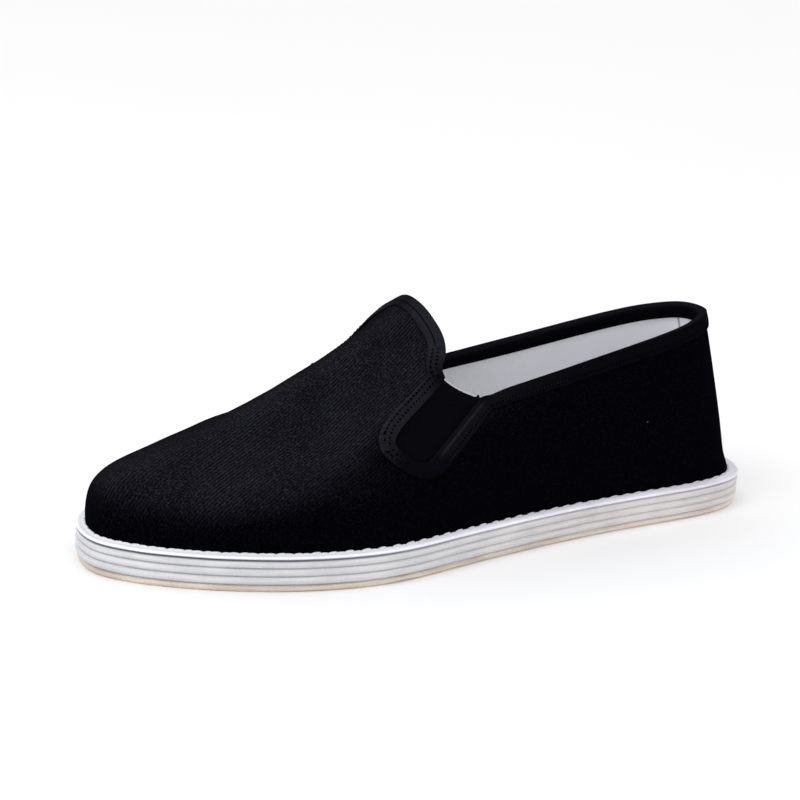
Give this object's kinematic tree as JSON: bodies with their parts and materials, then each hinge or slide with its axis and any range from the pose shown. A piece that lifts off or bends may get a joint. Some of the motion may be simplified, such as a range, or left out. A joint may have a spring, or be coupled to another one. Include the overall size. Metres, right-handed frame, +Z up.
{
  "type": "chinese cloth shoe",
  "caption": "Slip-on cloth shoe for the left foot: black twill upper with a tongue-shaped vamp, bound rim and an elastic gusset in each side, on a flat sole of layered cotton cloth",
  "frame": {"origin": "on the floor, under the middle of the bounding box", "axes": "+Z up; the toe points along -Y and the heel along +Y; +X is the outer side, that of the little toe"},
  "size_m": [0.101, 0.275, 0.0857],
  "materials": {
    "outsole_cloth": "beige woven cotton, matt",
    "white_sole_cloth": "white cotton cloth layer with a rounded, bound edge, matt",
    "white_welt_cloth": "bluish white cotton cloth, matt",
    "white_insole_cloth": "white cotton cloth, matt",
    "black_twill": "black cotton twill with a soft nap, white cotton lining inside",
    "black_elastic": "finely ribbed black elastic",
    "black_binding": "black cotton tape, stitched in two rows"
  },
  "bodies": {
    "root": {"outsole": "outsole_cloth", "midsole_layer_1": "white_sole_cloth", "midsole_layer_2": "white_sole_cloth", "midsole_layer_3": "white_sole_cloth", "welt": "white_welt_cloth", "insole": "white_insole_cloth", "upper": "black_twill", "elastic_outer_side": "black_elastic", "elastic_inner_side": "black_elastic", "collar_binding": "black_binding"}
  },
  "joints": []
}
